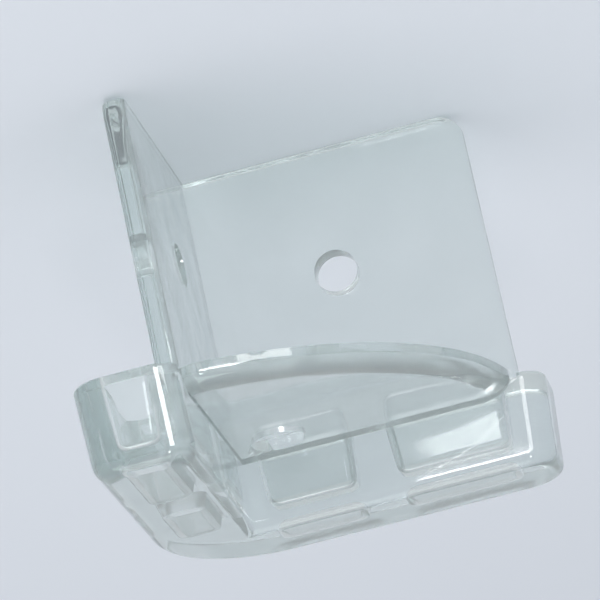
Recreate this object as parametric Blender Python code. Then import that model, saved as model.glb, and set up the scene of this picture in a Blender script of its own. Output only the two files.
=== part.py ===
"""Clear moulded corner protector for a table top, one piece of soft plastic.

Two side walls and a top plate sit round the corner of the furniture. A hollow
bumper runs along the outside of both walls, with two cells in each leg, open
below.
"""

import math

import bmesh
import bpy

MM = 0.001

# Side walls, measured from the inner corner where the furniture's edge sits
WALL_THICKNESS = 2.2 * MM
WALL_REACH = 28.2 * MM
WALL_DROP = 27.8 * MM
WALL_FOLD_RADIUS = 1.8 * MM
WALL_END_RADIUS = 0.8 * MM
WALL_LOWER_CORNER_RADIUS = 2.4 * MM
WALL_EDGE_ROUND = 0.5 * MM
WALL_HOLE_DIAMETER = 4.3 * MM
WALL_HOLE_FROM_CORNER = 13.0 * MM
WALL_HOLE_BELOW_PLATE = 14.8 * MM

# Top plate, a fan between the walls with a curved free edge that thins out
PLATE_THICKNESS = 2.2 * MM
PLATE_REACH = 27.6 * MM
PLATE_MIDDLE_REACH = 26.4 * MM
PLATE_TIP_RADIUS = 2.0 * MM
PLATE_EDGE_THICKNESS = 0.8 * MM
PLATE_TAPER_WIDTH = 2.6 * MM
PLATE_HOLE_DIAMETER = 5.3 * MM
PLATE_HOLE_FROM_WALLS = 4.6 * MM

# Bumper, from the inner face of the walls outward
BUMPER_DEPTH = 10.2 * MM
BUMPER_REACH = 30.6 * MM
BUMPER_CORNER_RADIUS = 12.8 * MM
BUMPER_ABOVE_PLATE = 7.1 * MM
BUMPER_TOP_ROUND = 1.9 * MM
BUMPER_EDGE_ROUND = 1.2 * MM
BUMPER_FOOT_ROUND = 0.5 * MM
BUMPER_OUTER_END_RADIUS = 3.0 * MM
BUMPER_INNER_END_RADIUS = 2.4 * MM
BUMPER_DRAFT = math.radians(2.0)
BUMPER_END_DRAFT = math.radians(4.5)

# Cells inside the bumper, open below
CELL_ROOF = 2.9 * MM
CELL_OUTER_WALL = 2.5 * MM
CELL_LEDGE = 0.4 * MM
CELL_FROM_CORNER = 1.0 * MM
CELL_NEAR_LENGTH = 9.8 * MM
CELL_DIVIDER = 3.2 * MM
CELL_END_WALL = 4.2 * MM
CELL_CORNER_RADIUS = 1.2 * MM
CELL_ROOF_RADIUS = 0.9 * MM
CELL_DRAFT = math.radians(4.0)

# Number of facets on the curves
FOLD_STEPS = 6
WALL_CORNER_STEPS = 10
BUMPER_CORNER_STEPS = 18
BUMPER_END_STEPS = 6
ROUND_STEPS = 6
PLATE_ARC_STEPS = 36
PLATE_TIP_STEPS = 6
HOLE_STEPS = 40
CELL_CORNER_STEPS = 4
CELL_ROOF_STEPS = 3

# Heights, counted from the lower edges of the walls
PLATE_UNDERSIDE = WALL_DROP
PLATE_TOP = PLATE_UNDERSIDE + PLATE_THICKNESS
BUMPER_TOP = PLATE_TOP + BUMPER_ABOVE_PLATE
CELL_CEILING = BUMPER_TOP - CELL_ROOF

# The middle of the part's own box stands over the world's origin
MIDDLE = (BUMPER_REACH - BUMPER_DEPTH) / 2
CUT_MARGIN = 1.0 * MM


def clear_scene():
    for thing in list(bpy.data.objects):
        bpy.data.objects.remove(thing, do_unlink=True)


def clear_plastic():
    material = bpy.data.materials.new("clear_plastic")
    material.use_nodes = True
    shader = material.node_tree.nodes["Principled BSDF"]
    shader.inputs["Base Color"].default_value = (0.86, 0.90, 0.90, 1.0)
    shader.inputs["Roughness"].default_value = 0.12
    shader.inputs["Metallic"].default_value = 0.0
    shader.inputs["IOR"].default_value = 1.52
    shader.inputs["Transmission Weight"].default_value = 0.9
    material.diffuse_color = (0.80, 0.88, 0.90, 1.0)
    return material


def arc(centre, radius, start, end, steps):
    """Points on an arc, angles in degrees, both ends included."""
    points = []
    for step in range(steps + 1):
        angle = math.radians(start + (end - start) * step / steps)
        points.append((centre[0] + radius * math.cos(angle), centre[1] + radius * math.sin(angle)))
    return points


def mirrored(points):
    """The same points on the other leg, in reverse order."""
    return [(y, x) for x, y in reversed(points)]


def loft(bm, levels):
    """A closed solid through outlines of equal length, each given with its height."""
    loops = []
    for height, outline in levels:
        loops.append([bm.verts.new((x, y, height)) for x, y in outline])
    for lower, upper in zip(loops, loops[1:]):
        for index in range(len(lower)):
            after = (index + 1) % len(lower)
            bm.faces.new((lower[index], lower[after], upper[after], upper[index]))
    bm.faces.new(list(reversed(loops[0])))
    bm.faces.new(loops[-1])


def form(name, bm, smooth=True):
    """Turn a bmesh into an object, standing over the world's origin."""
    bmesh.ops.recalc_face_normals(bm, faces=bm.faces)
    mesh = bpy.data.meshes.new(name)
    bm.to_mesh(mesh)
    bm.free()
    for polygon in mesh.polygons:
        polygon.use_smooth = smooth
    mesh.set_sharp_from_angle(angle=math.radians(35.0))
    thing = bpy.data.objects.new(name, mesh)
    bpy.context.scene.collection.objects.link(thing)
    thing.location = (-MIDDLE, -MIDDLE, 0.0)
    return thing


def rounding(height, top, width, drop):
    """How far an edge rounded by a quarter ellipse stands back at a height."""
    above = max(0.0, height - (top - drop)) / drop
    return width * (1.0 - math.sqrt(max(0.0, 1.0 - above * above)))


def bumper_outline(outer_inset, end_inset, inner_inset):
    """Plan of the bumper, anticlockwise, from the middle of its outer corner."""
    depth = BUMPER_DEPTH - outer_inset
    reach = BUMPER_REACH - end_inset
    inner_radius = BUMPER_INNER_END_RADIUS
    outer_radius = BUMPER_OUTER_END_RADIUS
    leg = []
    turn = BUMPER_CORNER_RADIUS - BUMPER_DEPTH
    leg += arc((turn, turn), BUMPER_CORNER_RADIUS - outer_inset, 225, 270, BUMPER_CORNER_STEPS // 2)
    leg += arc((reach - outer_radius, outer_radius - depth), outer_radius, 270, 360, BUMPER_END_STEPS)
    leg += arc((reach - inner_radius, -inner_inset - inner_radius), inner_radius, 0, 90, BUMPER_END_STEPS)
    return leg + [(-inner_inset, -inner_inset)] + mirrored(leg[1:])


def bumper():
    """The bumper as a solid bar round the corner, with a rounded top."""
    heights = [PLATE_UNDERSIDE, PLATE_UNDERSIDE + 0.3 * BUMPER_FOOT_ROUND, PLATE_UNDERSIDE + BUMPER_FOOT_ROUND]
    for step in range(ROUND_STEPS + 1):
        lift = math.sin(math.radians(90.0 * step / ROUND_STEPS))
        heights.append(BUMPER_TOP - BUMPER_TOP_ROUND * (1.0 - lift))
    levels = []
    for height in heights:
        above_foot = height - PLATE_UNDERSIDE
        lean = above_foot * math.tan(BUMPER_DRAFT)
        end_lean = above_foot * math.tan(BUMPER_END_DRAFT)
        foot = rounding(BUMPER_FOOT_ROUND - above_foot, BUMPER_FOOT_ROUND, BUMPER_FOOT_ROUND, BUMPER_FOOT_ROUND)
        brow = rounding(height, BUMPER_TOP, BUMPER_TOP_ROUND, BUMPER_TOP_ROUND)
        edge = rounding(height, BUMPER_TOP, BUMPER_EDGE_ROUND, BUMPER_EDGE_ROUND)
        levels.append((height, bumper_outline(lean + foot + brow, end_lean + foot + edge, edge)))
    bm = bmesh.new()
    loft(bm, levels)
    return form("corner_protector", bm)


def wall_outline(inset, setback):
    """Plan of the two side walls, thinner by the inset and shorter by the setback."""
    outer = WALL_THICKNESS - inset
    reach = WALL_REACH - setback
    radius = WALL_END_RADIUS - inset
    fold = WALL_FOLD_RADIUS
    leg = []
    leg += arc((fold - outer, fold - outer), fold, 225, 270, FOLD_STEPS // 2)
    leg += arc((reach - radius, radius - outer), radius, 270, 360, 3)
    leg += arc((reach - radius, -inset - radius), radius, 0, 90, 3)
    return leg + [(-inset, -inset)] + mirrored(leg[1:])


def walls():
    """The side walls, from their rounded lower edges up into the bumper."""
    corner = WALL_LOWER_CORNER_RADIUS
    heights = [0.0, 0.3 * WALL_EDGE_ROUND]
    for step in range(3, WALL_CORNER_STEPS + 1):
        heights.append(corner * (1.0 - math.cos(math.radians(90.0 * step / WALL_CORNER_STEPS))))
    levels = []
    for height in heights:
        edge = rounding(WALL_EDGE_ROUND - height, WALL_EDGE_ROUND, WALL_EDGE_ROUND, WALL_EDGE_ROUND)
        levels.append((height, wall_outline(0.9 * edge, rounding(corner - height, corner, corner, corner))))
    levels.append((PLATE_TOP, wall_outline(0.0, 0.0)))
    bm = bmesh.new()
    loft(bm, levels)
    return form("walls_form", bm)


def plate_outline(inset):
    """Plan of the top plate, its free edge moved in and its straight edges inside the walls."""
    reach = PLATE_REACH
    middle = PLATE_MIDDLE_REACH
    centre = (middle ** 2 - reach ** 2) / (2.0 * (math.sqrt(2.0) * middle - reach))
    radius = middle - centre * math.sqrt(2.0) - inset
    tip = PLATE_TIP_RADIUS
    tip_y = tip * math.sin(math.radians(45.0))
    tip_x = centre + math.sqrt((radius - tip) ** 2 - (tip_y - centre) ** 2)
    turn = math.degrees(math.atan2(tip_y - centre, tip_x - centre))
    buried = -WALL_THICKNESS / 2
    start = arc((tip_x, tip_y), tip, -45, turn, PLATE_TIP_STEPS)
    leg = [(start[0][0], buried)] + start
    edge = arc((centre, centre), radius, turn, 90 - turn, PLATE_ARC_STEPS)
    return [(buried, buried)] + leg + edge[1:-1] + mirrored(leg)


def plate():
    """The top plate, flat below, its free edge thinned and rounded over on top."""
    levels = [(PLATE_UNDERSIDE, plate_outline(0.0))]
    drop = PLATE_THICKNESS - PLATE_EDGE_THICKNESS
    for step in range(ROUND_STEPS + 1):
        angle = math.radians(90.0 * step / ROUND_STEPS)
        height = PLATE_TOP - drop * (1.0 - math.sin(angle))
        levels.append((height, plate_outline(PLATE_TAPER_WIDTH * (1.0 - math.cos(angle)))))
    bm = bmesh.new()
    loft(bm, levels)
    return form("plate_form", bm)


def cell_outline(start, end, inset):
    """Plan of a cell on the first leg, a rectangle with rounded corners."""
    radius = CELL_CORNER_RADIUS - inset / 2
    left = start + inset + radius
    right = end - inset - radius
    near = -WALL_THICKNESS - CELL_LEDGE - inset - radius
    far = -BUMPER_DEPTH + CELL_OUTER_WALL + inset + radius
    corners = [(right, near, 0), (left, near, 90), (left, far, 180), (right, far, 270)]
    points = []
    for x, y, angle in corners:
        points += arc((x, y), radius, angle, angle + 90, CELL_CORNER_STEPS)
    return points


def cell(bm, outline):
    """One drafted cell with a rounded ceiling, cut upward from below."""
    levels = [(PLATE_UNDERSIDE - CUT_MARGIN, outline(0.0)), (PLATE_UNDERSIDE, outline(0.0))]
    for step in range(CELL_ROOF_STEPS + 1):
        angle = math.radians(90.0 * step / CELL_ROOF_STEPS)
        height = CELL_CEILING - CELL_ROOF_RADIUS * (1.0 - math.sin(angle))
        lean = (height - PLATE_UNDERSIDE) * math.tan(CELL_DRAFT)
        levels.append((height, outline(lean + CELL_ROOF_RADIUS * (1.0 - math.cos(angle)))))
    loft(bm, levels)


def cells():
    """Two cells along each leg."""
    near_end = CELL_FROM_CORNER + CELL_NEAR_LENGTH
    far_start = near_end + CELL_DIVIDER
    far_end = BUMPER_REACH - CELL_END_WALL
    bm = bmesh.new()
    for start, end in ((CELL_FROM_CORNER, near_end), (far_start, far_end)):
        cell(bm, lambda inset: cell_outline(start, end, inset))
        cell(bm, lambda inset: mirrored(cell_outline(start, end, inset)))
    return form("cells_form", bm)


def holes():
    """The round holes, one in the plate and one in each side wall."""
    bm = bmesh.new()
    ring = arc((PLATE_HOLE_FROM_WALLS, PLATE_HOLE_FROM_WALLS), PLATE_HOLE_DIAMETER / 2, 0, 360, HOLE_STEPS)[:-1]
    loft(bm, [(PLATE_UNDERSIDE - CUT_MARGIN, ring), (PLATE_TOP + CUT_MARGIN, ring)])
    height = PLATE_UNDERSIDE - WALL_HOLE_BELOW_PLATE
    ring = arc((WALL_HOLE_FROM_CORNER, height), WALL_HOLE_DIAMETER / 2, 0, 360, HOLE_STEPS)[:-1]
    for on_second_leg in (False, True):
        first = len(bm.verts)
        loft(bm, [(-CUT_MARGIN, ring), (WALL_THICKNESS + CUT_MARGIN, ring)])
        for vert in list(bm.verts)[first:]:
            along, up, out = vert.co
            vert.co = (-out, along, up) if on_second_leg else (along, -out, up)
    return form("holes_form", bm)


def combine(body, operand, operation):
    """Join a form to the body or cut it away, and keep the form out of sight."""
    operand.display_type = "WIRE"
    operand.hide_render = True
    step = body.modifiers.new(operand.name, "BOOLEAN")
    step.operation = operation
    step.solver = "EXACT"
    step.object = operand


def build():
    clear_scene()
    body = bumper()
    body.data.materials.append(clear_plastic())
    combine(body, walls(), "UNION")
    combine(body, plate(), "UNION")
    combine(body, cells(), "DIFFERENCE")
    combine(body, holes(), "DIFFERENCE")


build()
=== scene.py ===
"""Studio picture of a clear moulded corner protector, seen as in its pack."""

import math

import bmesh
import bpy
from mathutils import Matrix, Vector


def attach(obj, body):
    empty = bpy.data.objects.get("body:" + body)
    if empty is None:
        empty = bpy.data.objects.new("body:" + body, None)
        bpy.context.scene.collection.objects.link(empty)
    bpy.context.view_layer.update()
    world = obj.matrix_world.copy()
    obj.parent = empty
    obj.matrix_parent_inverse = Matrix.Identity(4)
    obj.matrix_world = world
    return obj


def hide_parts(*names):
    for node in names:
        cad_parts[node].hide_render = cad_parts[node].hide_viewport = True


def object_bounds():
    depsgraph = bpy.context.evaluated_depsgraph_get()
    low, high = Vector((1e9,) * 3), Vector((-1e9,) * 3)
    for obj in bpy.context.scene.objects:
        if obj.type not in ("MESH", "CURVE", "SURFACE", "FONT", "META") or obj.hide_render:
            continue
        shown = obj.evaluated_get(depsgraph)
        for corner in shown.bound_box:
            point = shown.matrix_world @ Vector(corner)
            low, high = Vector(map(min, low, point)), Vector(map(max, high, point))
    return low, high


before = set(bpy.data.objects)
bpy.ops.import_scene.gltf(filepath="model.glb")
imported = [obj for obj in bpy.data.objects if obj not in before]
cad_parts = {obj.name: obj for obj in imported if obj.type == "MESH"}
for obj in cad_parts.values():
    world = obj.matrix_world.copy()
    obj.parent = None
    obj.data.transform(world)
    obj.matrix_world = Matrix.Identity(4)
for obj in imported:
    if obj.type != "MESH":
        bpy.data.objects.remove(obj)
cad_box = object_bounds()

MM = 0.001
NODE = "corner_protector"

# Side walls, measured from the inner corner where the furniture's edge sits
WALL_THICKNESS = 2.2 * MM
WALL_REACH = 28.2 * MM
WALL_DROP = 27.8 * MM
WALL_FOLD_RADIUS = 1.8 * MM
WALL_END_RADIUS = 0.8 * MM
WALL_LOWER_CORNER_RADIUS = 2.4 * MM
WALL_EDGE_ROUND = 0.5 * MM
WALL_EDGE_INSET_SHARE = 0.9
WALL_HOLE_DIAMETER = 4.3 * MM
WALL_HOLE_FROM_CORNER = 13.0 * MM
WALL_HOLE_BELOW_PLATE = 14.8 * MM

# Top plate
PLATE_THICKNESS = 2.2 * MM
PLATE_REACH = 27.6 * MM
PLATE_MIDDLE_REACH = 26.4 * MM
PLATE_TIP_RADIUS = 2.0 * MM
PLATE_EDGE_THICKNESS = 0.8 * MM
PLATE_TAPER_WIDTH = 2.6 * MM
PLATE_HOLE_DIAMETER = 5.3 * MM
PLATE_HOLE_FROM_WALLS = 4.6 * MM

# Bumper
BUMPER_DEPTH = 10.2 * MM
BUMPER_REACH = 30.6 * MM
BUMPER_CORNER_RADIUS = 12.8 * MM
BUMPER_ABOVE_PLATE = 7.1 * MM
BUMPER_TOP_ROUND = 1.9 * MM
BUMPER_EDGE_ROUND = 1.2 * MM
BUMPER_FOOT_ROUND = 0.5 * MM
BUMPER_OUTER_END_RADIUS = 3.0 * MM
BUMPER_INNER_END_RADIUS = 2.4 * MM
BUMPER_DRAFT = math.radians(2.0)
BUMPER_END_DRAFT = math.radians(4.5)

# Cells
CELL_ROOF = 2.9 * MM
CELL_OUTER_WALL = 2.5 * MM
CELL_LEDGE = 0.4 * MM
CELL_FROM_CORNER = 1.0 * MM
CELL_NEAR_LENGTH = 9.8 * MM
CELL_DIVIDER = 3.2 * MM
CELL_END_WALL = 4.2 * MM
CELL_CORNER_RADIUS = 1.2 * MM
CELL_ROOF_RADIUS = 0.9 * MM
CELL_DRAFT = math.radians(4.0)

# Small rounding left by the mould on every remaining edge
MOULD_ROUND = 0.25 * MM
MOULD_ROUND_STEPS = 3
MOULD_ROUND_PROFILE = 0.5
SHARP_ANGLE = math.radians(28.0)

# Limits for joining points and flat faces of the finished mesh
WELD_DISTANCE = 0.002 * MM
FLAT_ANGLE = math.radians(1.0)
MOST_FACE_CORNERS = 4

# Number of facets on the curves
FOLD_STEPS = 12
WALL_END_STEPS = 5
WALL_CORNER_STEPS = 16
WALL_CORNER_FIRST_STEP = 5
WALL_EDGE_LEVELS = (0.0, 0.1, 0.35)
BUMPER_CORNER_STEPS = 40
BUMPER_END_STEPS = 12
BUMPER_FOOT_STEPS = 3
ROUND_STEPS = 10
PLATE_ARC_STEPS = 80
PLATE_TIP_STEPS = 10
HOLE_STEPS = 64
CELL_CORNER_STEPS = 8
CELL_ROOF_STEPS = 5

# Heights and places, worked out as in the solid part
PLATE_UNDERSIDE = WALL_DROP
PLATE_TOP = PLATE_UNDERSIDE + PLATE_THICKNESS
BUMPER_TOP = PLATE_TOP + BUMPER_ABOVE_PLATE
CELL_CEILING = BUMPER_TOP - CELL_ROOF
MIDDLE = (BUMPER_REACH - BUMPER_DEPTH) / 2
CUT_MARGIN = 1.0 * MM

# Clear plastic
PLASTIC_TRANSMISSION = 0.88
PLASTIC_IOR = 1.50
PLASTIC_TINT_DARKER = (0.72, 0.755, 0.755, 1.0)
PLASTIC_TINT_PALER = (0.80, 0.83, 0.83, 1.0)
PLASTIC_DEPTH_COLOUR = (0.60, 0.72, 0.71, 1.0)
PLASTIC_DEPTH_DENSITY = 24.0
PLASTIC_SHADOW_COLOUR = (0.68, 0.72, 0.71, 1.0)
WAVE_SCALE = 160.0
WAVE_DETAIL = 1.5
WAVE_STRENGTH = 0.25
WAVE_HEIGHT = 0.12 * MM
HAZE_SCALE = 420.0
HAZE_DETAIL = 2.0
HAZE_LEAST_ROUGHNESS = 0.03
HAZE_MOST_ROUGHNESS = 0.08

# Floor and surroundings
FLOOR_HALF_WIDTH = 3.0
FLOOR_COLOUR = (0.70, 0.73, 0.77, 1.0)
FLOOR_ROUGHNESS = 0.9
FLOOR_SPECULAR = 0.1
ROOM_LOW_COLOUR = (0.64, 0.66, 0.68, 1.0)
ROOM_HIGH_COLOUR = (0.66, 0.68, 0.72, 1.0)
ROOM_HIGH_FROM = 0.75

# Lamps: name, place from the object's middle, width and height in metres, power in watts
LAMPS = (
    ("overhead", (-0.17, 0.11, 0.56), 0.45, 0.45, 1.1),
    ("window", (0.05, 0.48, 0.36), 0.05, 0.12, 0.47),
)
LOW_LAMPS = (
    ("low_left", (7.8 * MM, 64.9 * MM, 3.5 * MM), 18.0 * MM, 16.0 * MM, 0.0181),
    ("low_right", (25.4 * MM, 56.4 * MM, -5.6 * MM), 22.0 * MM, 12.0 * MM, 0.0058),
)

# Light turns many times inside clear plastic before it leaves
MOST_BOUNCES = 32
MOST_BOUNCES_INSIDE = 24

# Camera, as the lowest protector in the pack is seen
TOWARD_CAMERA = Vector((0.116, 0.939, 0.324))
CAMERA_UP = Vector((0.251, 0.288, -0.924))
CAMERA_LENS = 300.0
CAMERA_DISTANCE = 480.0 * MM


def arc(centre, radius, start, end, steps):
    """Points on an arc, angles in degrees, both ends included."""
    points = []
    for step in range(steps + 1):
        angle = math.radians(start + (end - start) * step / steps)
        points.append((centre[0] + radius * math.cos(angle), centre[1] + radius * math.sin(angle)))
    return points


def ring(centre, diameter):
    """Points once round a hole."""
    return arc(centre, diameter / 2, 0, 360, HOLE_STEPS)[:-1]


def mirrored(points):
    """The same points on the other leg, in reverse order."""
    return [(y, x) for x, y in reversed(points)]


def rounded_off(height, top, radius):
    """How far an edge that is rounded at the top stands back at a height."""
    above = max(0.0, height - (top - radius)) / radius
    return radius * (1.0 - math.sqrt(max(0.0, 1.0 - above * above)))


def rounded_foot(height, radius):
    """How far an edge that is rounded at the bottom stands back at a height."""
    return rounded_off(radius - height, radius, radius)


def loft(bm, levels):
    """A closed solid through outlines of equal length, each given with its height."""
    loops = []
    for height, outline in levels:
        loops.append([bm.verts.new((x, y, height)) for x, y in outline])
    for lower, upper in zip(loops, loops[1:]):
        for index in range(len(lower)):
            after = (index + 1) % len(lower)
            bm.faces.new((lower[index], lower[after], upper[after], upper[index]))
    bm.faces.new(list(reversed(loops[0])))
    bm.faces.new(loops[-1])


def form(name, bm):
    """Turn a bmesh into an object, standing over the world's origin."""
    bmesh.ops.recalc_face_normals(bm, faces=bm.faces)
    bmesh.ops.translate(bm, verts=bm.verts, vec=(-MIDDLE, -MIDDLE, 0.0))
    mesh = bpy.data.meshes.new(name)
    bm.to_mesh(mesh)
    bm.free()
    thing = bpy.data.objects.new(name, mesh)
    bpy.context.scene.collection.objects.link(thing)
    return thing


def bumper_outline(outer_inset, end_inset, inner_inset):
    """Plan of the bumper, anticlockwise, from the middle of its outer corner."""
    depth = BUMPER_DEPTH - outer_inset
    reach = BUMPER_REACH - end_inset
    turn = BUMPER_CORNER_RADIUS - BUMPER_DEPTH
    corner_radius = BUMPER_CORNER_RADIUS - outer_inset
    inner_radius = BUMPER_INNER_END_RADIUS
    outer_radius = BUMPER_OUTER_END_RADIUS
    outer_end = (reach - outer_radius, outer_radius - depth)
    inner_end = (reach - inner_radius, -inner_inset - inner_radius)
    leg = []
    leg += arc((turn, turn), corner_radius, 225, 270, BUMPER_CORNER_STEPS // 2)
    leg += arc(outer_end, outer_radius, 270, 360, BUMPER_END_STEPS)
    leg += arc(inner_end, inner_radius, 0, 90, BUMPER_END_STEPS)
    return leg + [(-inner_inset, -inner_inset)] + mirrored(leg[1:])


def bumper():
    """The bumper as a solid bar round the corner, with a rounded foot and top."""
    heights = []
    for step in range(BUMPER_FOOT_STEPS + 1):
        rise = 1.0 - math.cos(math.radians(90.0 * step / BUMPER_FOOT_STEPS))
        heights.append(PLATE_UNDERSIDE + BUMPER_FOOT_ROUND * rise)
    for step in range(ROUND_STEPS + 1):
        lift = math.sin(math.radians(90.0 * step / ROUND_STEPS))
        heights.append(BUMPER_TOP - BUMPER_TOP_ROUND * (1.0 - lift))
    levels = []
    for height in heights:
        above_foot = height - PLATE_UNDERSIDE
        lean = above_foot * math.tan(BUMPER_DRAFT)
        end_lean = above_foot * math.tan(BUMPER_END_DRAFT)
        foot = rounded_foot(above_foot, BUMPER_FOOT_ROUND)
        brow = rounded_off(height, BUMPER_TOP, BUMPER_TOP_ROUND)
        edge = rounded_off(height, BUMPER_TOP, BUMPER_EDGE_ROUND)
        levels.append((height, bumper_outline(lean + foot + brow, end_lean + foot + edge, edge)))
    bm = bmesh.new()
    loft(bm, levels)
    return form("moulding", bm)


def wall_outline(inset, setback):
    """Plan of the two side walls, thinner by the inset and shorter by the setback."""
    outer = WALL_THICKNESS - inset
    reach = WALL_REACH - setback
    radius = WALL_END_RADIUS - inset
    fold = WALL_FOLD_RADIUS
    leg = []
    leg += arc((fold - outer, fold - outer), fold, 225, 270, FOLD_STEPS // 2)
    leg += arc((reach - radius, radius - outer), radius, 270, 360, WALL_END_STEPS)
    leg += arc((reach - radius, -inset - radius), radius, 0, 90, WALL_END_STEPS)
    return leg + [(-inset, -inset)] + mirrored(leg[1:])


def walls():
    """The side walls, from their rounded lower edges up into the bumper."""
    corner = WALL_LOWER_CORNER_RADIUS
    heights = [share * WALL_EDGE_ROUND for share in WALL_EDGE_LEVELS]
    for step in range(WALL_CORNER_FIRST_STEP, WALL_CORNER_STEPS + 1):
        heights.append(corner * (1.0 - math.cos(math.radians(90.0 * step / WALL_CORNER_STEPS))))
    levels = []
    for height in heights:
        inset = WALL_EDGE_INSET_SHARE * rounded_foot(height, WALL_EDGE_ROUND)
        levels.append((height, wall_outline(inset, rounded_foot(height, corner))))
    levels.append((PLATE_TOP, wall_outline(0.0, 0.0)))
    bm = bmesh.new()
    loft(bm, levels)
    return form("walls_form", bm)


def plate_outline(inset):
    """Plan of the top plate, its free edge moved in and its straight edges inside the walls."""
    reach = PLATE_REACH
    middle = PLATE_MIDDLE_REACH
    centre = (middle ** 2 - reach ** 2) / (2.0 * (math.sqrt(2.0) * middle - reach))
    radius = middle - centre * math.sqrt(2.0) - inset
    tip = PLATE_TIP_RADIUS
    tip_y = tip * math.sin(math.radians(45.0))
    tip_x = centre + math.sqrt((radius - tip) ** 2 - (tip_y - centre) ** 2)
    turn = math.degrees(math.atan2(tip_y - centre, tip_x - centre))
    buried = -WALL_THICKNESS / 2
    start = arc((tip_x, tip_y), tip, -45, turn, PLATE_TIP_STEPS)
    leg = [(start[0][0], buried)] + start
    edge = arc((centre, centre), radius, turn, 90 - turn, PLATE_ARC_STEPS)
    return [(buried, buried)] + leg + edge[1:-1] + mirrored(leg)


def plate():
    """The top plate, flat below, its free edge thinned and rounded over on top."""
    levels = [(PLATE_UNDERSIDE, plate_outline(0.0))]
    drop = PLATE_THICKNESS - PLATE_EDGE_THICKNESS
    for step in range(ROUND_STEPS + 1):
        angle = math.radians(90.0 * step / ROUND_STEPS)
        height = PLATE_TOP - drop * (1.0 - math.sin(angle))
        levels.append((height, plate_outline(PLATE_TAPER_WIDTH * (1.0 - math.cos(angle)))))
    bm = bmesh.new()
    loft(bm, levels)
    return form("plate_form", bm)


def cell_outline(start, end, inset):
    """Plan of a cell on the first leg, a rectangle with rounded corners."""
    radius = CELL_CORNER_RADIUS - inset / 2
    left = start + inset + radius
    right = end - inset - radius
    near = -WALL_THICKNESS - CELL_LEDGE - inset - radius
    far = -BUMPER_DEPTH + CELL_OUTER_WALL + inset + radius
    corners = [(right, near, 0), (left, near, 90), (left, far, 180), (right, far, 270)]
    points = []
    for x, y, angle in corners:
        points += arc((x, y), radius, angle, angle + 90, CELL_CORNER_STEPS)
    return points


def cell(bm, start, end, on_second_leg):
    """One drafted cell with a rounded ceiling, cut upward from below."""
    insets = [(PLATE_UNDERSIDE - CUT_MARGIN, 0.0), (PLATE_UNDERSIDE, 0.0)]
    for step in range(CELL_ROOF_STEPS + 1):
        angle = math.radians(90.0 * step / CELL_ROOF_STEPS)
        height = CELL_CEILING - CELL_ROOF_RADIUS * (1.0 - math.sin(angle))
        lean = (height - PLATE_UNDERSIDE) * math.tan(CELL_DRAFT)
        insets.append((height, lean + CELL_ROOF_RADIUS * (1.0 - math.cos(angle))))
    levels = []
    for height, inset in insets:
        outline = cell_outline(start, end, inset)
        levels.append((height, mirrored(outline) if on_second_leg else outline))
    loft(bm, levels)


def cells():
    """Two cells along each leg."""
    near_end = CELL_FROM_CORNER + CELL_NEAR_LENGTH
    far_start = near_end + CELL_DIVIDER
    far_end = BUMPER_REACH - CELL_END_WALL
    bm = bmesh.new()
    for start, end in ((CELL_FROM_CORNER, near_end), (far_start, far_end)):
        for on_second_leg in (False, True):
            cell(bm, start, end, on_second_leg)
    return form("cells_form", bm)


def holes():
    """The round holes, one in the plate and one in each side wall."""
    bm = bmesh.new()
    plate_hole = ring((PLATE_HOLE_FROM_WALLS, PLATE_HOLE_FROM_WALLS), PLATE_HOLE_DIAMETER)
    loft(bm, [(PLATE_UNDERSIDE - CUT_MARGIN, plate_hole), (PLATE_TOP + CUT_MARGIN, plate_hole)])
    height = PLATE_UNDERSIDE - WALL_HOLE_BELOW_PLATE
    wall_hole = ring((WALL_HOLE_FROM_CORNER, height), WALL_HOLE_DIAMETER)
    for on_second_leg in (False, True):
        first = len(bm.verts)
        loft(bm, [(-CUT_MARGIN, wall_hole), (WALL_THICKNESS + CUT_MARGIN, wall_hole)])
        for vert in list(bm.verts)[first:]:
            along, up, out = vert.co
            vert.co = (-out, along, up) if on_second_leg else (along, -out, up)
    return form("holes_form", bm)


def combine(body, operand, operation):
    """Join a form to the body or cut it away."""
    step = body.modifiers.new(operand.name, "BOOLEAN")
    step.operation = operation
    step.solver = "EXACT"
    step.object = operand


def joined_mesh():
    """The mesh of the bumper, walls and plate in one, with the cells and holes cut out."""
    rough = bumper()
    combine(rough, walls(), "UNION")
    combine(rough, plate(), "UNION")
    combine(rough, cells(), "DIFFERENCE")
    combine(rough, holes(), "DIFFERENCE")
    view = bpy.context.evaluated_depsgraph_get()
    mesh = bpy.data.meshes.new_from_object(rough.evaluated_get(view))
    for operand in [step.object for step in rough.modifiers]:
        bpy.data.objects.remove(operand, do_unlink=True)
    bpy.data.objects.remove(rough, do_unlink=True)
    return mesh


def moulding():
    """The whole protector as one fine mesh, with every edge slightly rounded."""
    mesh = joined_mesh()
    bm = bmesh.new()
    bm.from_mesh(mesh)
    bmesh.ops.remove_doubles(bm, verts=bm.verts, dist=WELD_DISTANCE)
    bmesh.ops.dissolve_limit(bm, angle_limit=FLAT_ANGLE, verts=bm.verts, edges=bm.edges)
    sharp = [edge for edge in bm.edges if edge.calc_face_angle() > SHARP_ANGLE]
    bmesh.ops.bevel(bm, geom=sharp, offset=MOULD_ROUND, segments=MOULD_ROUND_STEPS,
                    profile=MOULD_ROUND_PROFILE, affect="EDGES", clamp_overlap=True)
    large = [face for face in bm.faces if len(face.verts) > MOST_FACE_CORNERS]
    bmesh.ops.triangulate(bm, faces=large)
    bm.to_mesh(mesh)
    bm.free()
    for polygon in mesh.polygons:
        polygon.use_smooth = True
    mesh.name = "moulding"
    piece = bpy.data.objects.new("moulding", mesh)
    bpy.context.scene.collection.objects.link(piece)
    normals = piece.modifiers.new("even_shading", "WEIGHTED_NORMAL")
    normals.mode = "FACE_AREA"
    return piece


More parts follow.
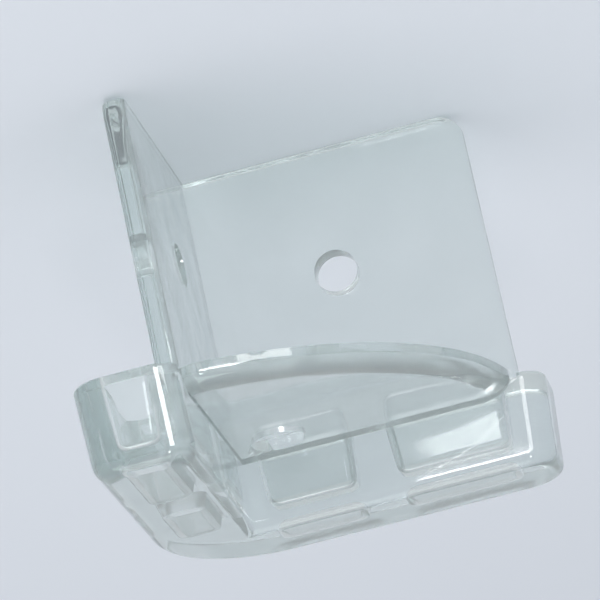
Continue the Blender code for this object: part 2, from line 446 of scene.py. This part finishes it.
def clear_plastic():
    """Clear soft plastic with a slightly wavy moulded skin, a faint haze and a pale shadow."""
    material = bpy.data.materials.new("clear_plastic")
    material.use_nodes = True
    nodes = material.node_tree.nodes
    links = material.node_tree.links
    shader = nodes["Principled BSDF"]
    shader.inputs["Transmission Weight"].default_value = PLASTIC_TRANSMISSION
    shader.inputs["IOR"].default_value = PLASTIC_IOR
    place = nodes.new("ShaderNodeTexCoord")
    wave = nodes.new("ShaderNodeTexNoise")
    wave.inputs["Scale"].default_value = WAVE_SCALE
    wave.inputs["Detail"].default_value = WAVE_DETAIL
    ripple = nodes.new("ShaderNodeBump")
    ripple.inputs["Strength"].default_value = WAVE_STRENGTH
    ripple.inputs["Distance"].default_value = WAVE_HEIGHT
    haze = nodes.new("ShaderNodeTexNoise")
    haze.inputs["Scale"].default_value = HAZE_SCALE
    haze.inputs["Detail"].default_value = HAZE_DETAIL
    polish = nodes.new("ShaderNodeMapRange")
    polish.inputs["To Min"].default_value = HAZE_LEAST_ROUGHNESS
    polish.inputs["To Max"].default_value = HAZE_MOST_ROUGHNESS
    tint = nodes.new("ShaderNodeValToRGB")
    tint.color_ramp.elements[0].color = PLASTIC_TINT_DARKER
    tint.color_ramp.elements[1].color = PLASTIC_TINT_PALER
    for texture in (wave, haze):
        links.new(place.outputs["Object"], texture.inputs["Vector"])
    links.new(wave.outputs["Fac"], ripple.inputs["Height"])
    links.new(ripple.outputs["Normal"], shader.inputs["Normal"])
    links.new(haze.outputs["Fac"], polish.inputs["Value"])
    links.new(polish.outputs["Result"], shader.inputs["Roughness"])
    links.new(wave.outputs["Fac"], tint.inputs["Fac"])
    links.new(tint.outputs["Color"], shader.inputs["Base Color"])
    body = nodes.new("ShaderNodeVolumeAbsorption")
    body.inputs["Color"].default_value = PLASTIC_DEPTH_COLOUR
    body.inputs["Density"].default_value = PLASTIC_DEPTH_DENSITY
    links.new(body.outputs["Volume"], nodes["Material Output"].inputs["Volume"])
    path = nodes.new("ShaderNodeLightPath")
    passing = nodes.new("ShaderNodeBsdfTransparent")
    passing.inputs["Color"].default_value = PLASTIC_SHADOW_COLOUR
    lamp_side = nodes.new("ShaderNodeMixShader")
    links.new(path.outputs["Is Shadow Ray"], lamp_side.inputs["Fac"])
    links.new(shader.outputs["BSDF"], lamp_side.inputs[1])
    links.new(passing.outputs["BSDF"], lamp_side.inputs[2])
    links.new(lamp_side.outputs["Shader"], nodes["Material Output"].inputs["Surface"])
    return material


def floor():
    """A pale matt floor, wide enough to fill the picture."""
    bm = bmesh.new()
    bmesh.ops.create_grid(bm, x_segments=1, y_segments=1, size=FLOOR_HALF_WIDTH)
    mesh = bpy.data.meshes.new("floor")
    bm.to_mesh(mesh)
    bm.free()
    thing = bpy.data.objects.new("floor", mesh)
    bpy.context.scene.collection.objects.link(thing)
    material = bpy.data.materials.new("pale_floor")
    material.use_nodes = True
    shader = material.node_tree.nodes["Principled BSDF"]
    shader.inputs["Base Color"].default_value = FLOOR_COLOUR
    shader.inputs["Roughness"].default_value = FLOOR_ROUGHNESS
    shader.inputs["Specular IOR Level"].default_value = FLOOR_SPECULAR
    thing.data.materials.append(material)


def surroundings():
    """A pale room, very slightly cooler overhead."""
    world = bpy.data.worlds.new("studio")
    world.use_nodes = True
    nodes = world.node_tree.nodes
    links = world.node_tree.links
    place = nodes.new("ShaderNodeTexCoord")
    split = nodes.new("ShaderNodeSeparateXYZ")
    ramp = nodes.new("ShaderNodeValToRGB")
    ramp.color_ramp.elements[0].color = ROOM_LOW_COLOUR
    ramp.color_ramp.elements[1].position = ROOM_HIGH_FROM
    ramp.color_ramp.elements[1].color = ROOM_HIGH_COLOUR
    links.new(place.outputs["Generated"], split.inputs["Vector"])
    links.new(split.outputs["Z"], ramp.inputs["Fac"])
    links.new(ramp.outputs["Color"], nodes["Background"].inputs["Color"])
    bpy.context.scene.world = world


def soft_box(name, place, width, height, power):
    """An area lamp at a place, given from the object's middle, that looks at the object."""
    lamp = bpy.data.lights.new(name, "AREA")
    lamp.shape = "RECTANGLE"
    lamp.size = width
    lamp.size_y = height
    lamp.energy = power
    thing = bpy.data.objects.new(name, lamp)
    bpy.context.scene.collection.objects.link(thing)
    place = Vector(place)
    thing.location = Vector((0.0, 0.0, BUMPER_TOP / 2)) + place
    thing.rotation_euler = place.to_track_quat("Z", "Y").to_euler()
    return thing


def studio(piece):
    """A soft box above, a window by the camera and two small lamps low in front of the piece."""
    surroundings()
    for lamp in LAMPS:
        soft_box(*lamp)
    lit = bpy.data.collections.new("lit_from_low")
    lit.objects.link(piece)
    for lamp in LOW_LAMPS:
        low = soft_box(*lamp)
        low.visible_camera = False
        low.light_linking.receiver_collection = lit


def camera():
    """Looks at the middle of the object, turned and rolled as the photograph shows it."""
    data = bpy.data.cameras.new("camera")
    data.lens = CAMERA_LENS
    thing = bpy.data.objects.new("camera", data)
    bpy.context.scene.collection.objects.link(thing)
    back = TOWARD_CAMERA.normalized()
    right = CAMERA_UP.cross(back).normalized()
    up = back.cross(right)
    turn = Matrix((right, up, back)).transposed().to_4x4()
    low, high = cad_box
    middle = (low + high) / 2
    thing.matrix_world = Matrix.Translation(middle + back * CAMERA_DISTANCE) @ turn
    bpy.context.scene.camera = thing


def dress():
    """The fine moulding in clear plastic, in place of the plain solid."""
    piece = moulding()
    piece.data.materials.clear()
    piece.data.materials.append(clear_plastic())
    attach(piece, "root")
    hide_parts(NODE)
    return piece


camera()
protector = dress()
floor()
studio(protector)
scene = bpy.context.scene
scene.view_settings.view_transform = "Standard"
scene.cycles.max_bounces = MOST_BOUNCES
scene.cycles.glossy_bounces = MOST_BOUNCES_INSIDE
scene.cycles.transmission_bounces = MOST_BOUNCES_INSIDE
